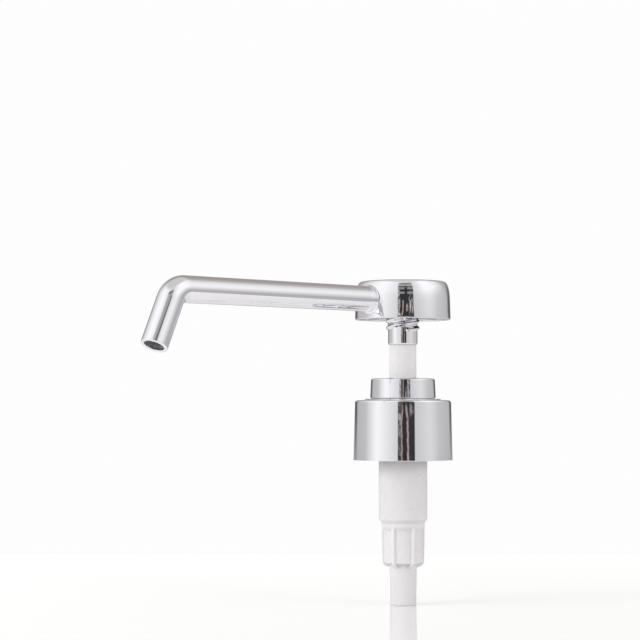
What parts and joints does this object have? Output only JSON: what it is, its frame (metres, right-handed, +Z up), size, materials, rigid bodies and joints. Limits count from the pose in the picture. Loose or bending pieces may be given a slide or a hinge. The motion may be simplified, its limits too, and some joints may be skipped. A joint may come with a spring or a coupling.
{
  "type": "lotion pump",
  "caption": "Screw-on lotion pump with a drum-shaped chrome head, a long bent spout, a lock nut and collar, and a white ribbed pump housing.",
  "frame": {"origin": "on the pump's axis in the plane of the bottle's rim, which is the underside of the gasket", "axes": "+Z up along the pump's axis, the spout points along -X"},
  "size_m": [0.1303, 0.0342, 0.1115],
  "materials": {
    "chrome_plating": "polished",
    "white_plastic": "satin",
    "seal_plastic": "satin",
    "gasket_foam": "matte",
    "ball_steel": "polished",
    "spring_steel": "satin"
  },
  "bodies": {
    "pump_body": {"pump_housing": "white_plastic", "lock_nut": "white_plastic", "lock_nut_cover": "chrome_plating", "bottle_gasket": "gasket_foam", "return_spring": "spring_steel"},
    "closure": {"closure_cap": "white_plastic", "closure_shell": "chrome_plating"},
    "plunger": {"piston": "seal_plastic"},
    "head": {"actuator_head": "chrome_plating", "spout_tube": "chrome_plating", "stem": "white_plastic", "piston_insert": "white_plastic"},
    "inlet_valve": {"inlet_ball": "ball_steel"},
    "outlet_valve": {"outlet_ball": "ball_steel"}
  },
  "joints": [
    {"name": "closure_turn", "type": "hinge", "parent": "pump_body", "child": "closure", "pos_m": [0, 0, 0], "axis": [0, 0, 1], "continuous": true},
    {"name": "pump_stroke", "type": "slide", "parent": "pump_body", "child": "plunger", "axis": [0, 0, 1], "range_m": [-0.021, 0], "stiffness_N_per_m": 450, "springref_m": 0.02, "deforming": ["return_spring"]},
    {"name": "head_swivel", "type": "hinge", "parent": "plunger", "child": "head", "pos_m": [0, 0, 0.0391], "axis": [0, 0, 1], "continuous": true},
    {"name": "inlet_ball_lift", "type": "slide", "parent": "pump_body", "child": "inlet_valve", "axis": [0, 0, 1], "range_m": [0, 0.0015]},
    {"name": "outlet_ball_lift", "type": "slide", "parent": "head", "child": "outlet_valve", "axis": [0, 0, 1], "range_m": [0, 0.0012]}
  ]
}
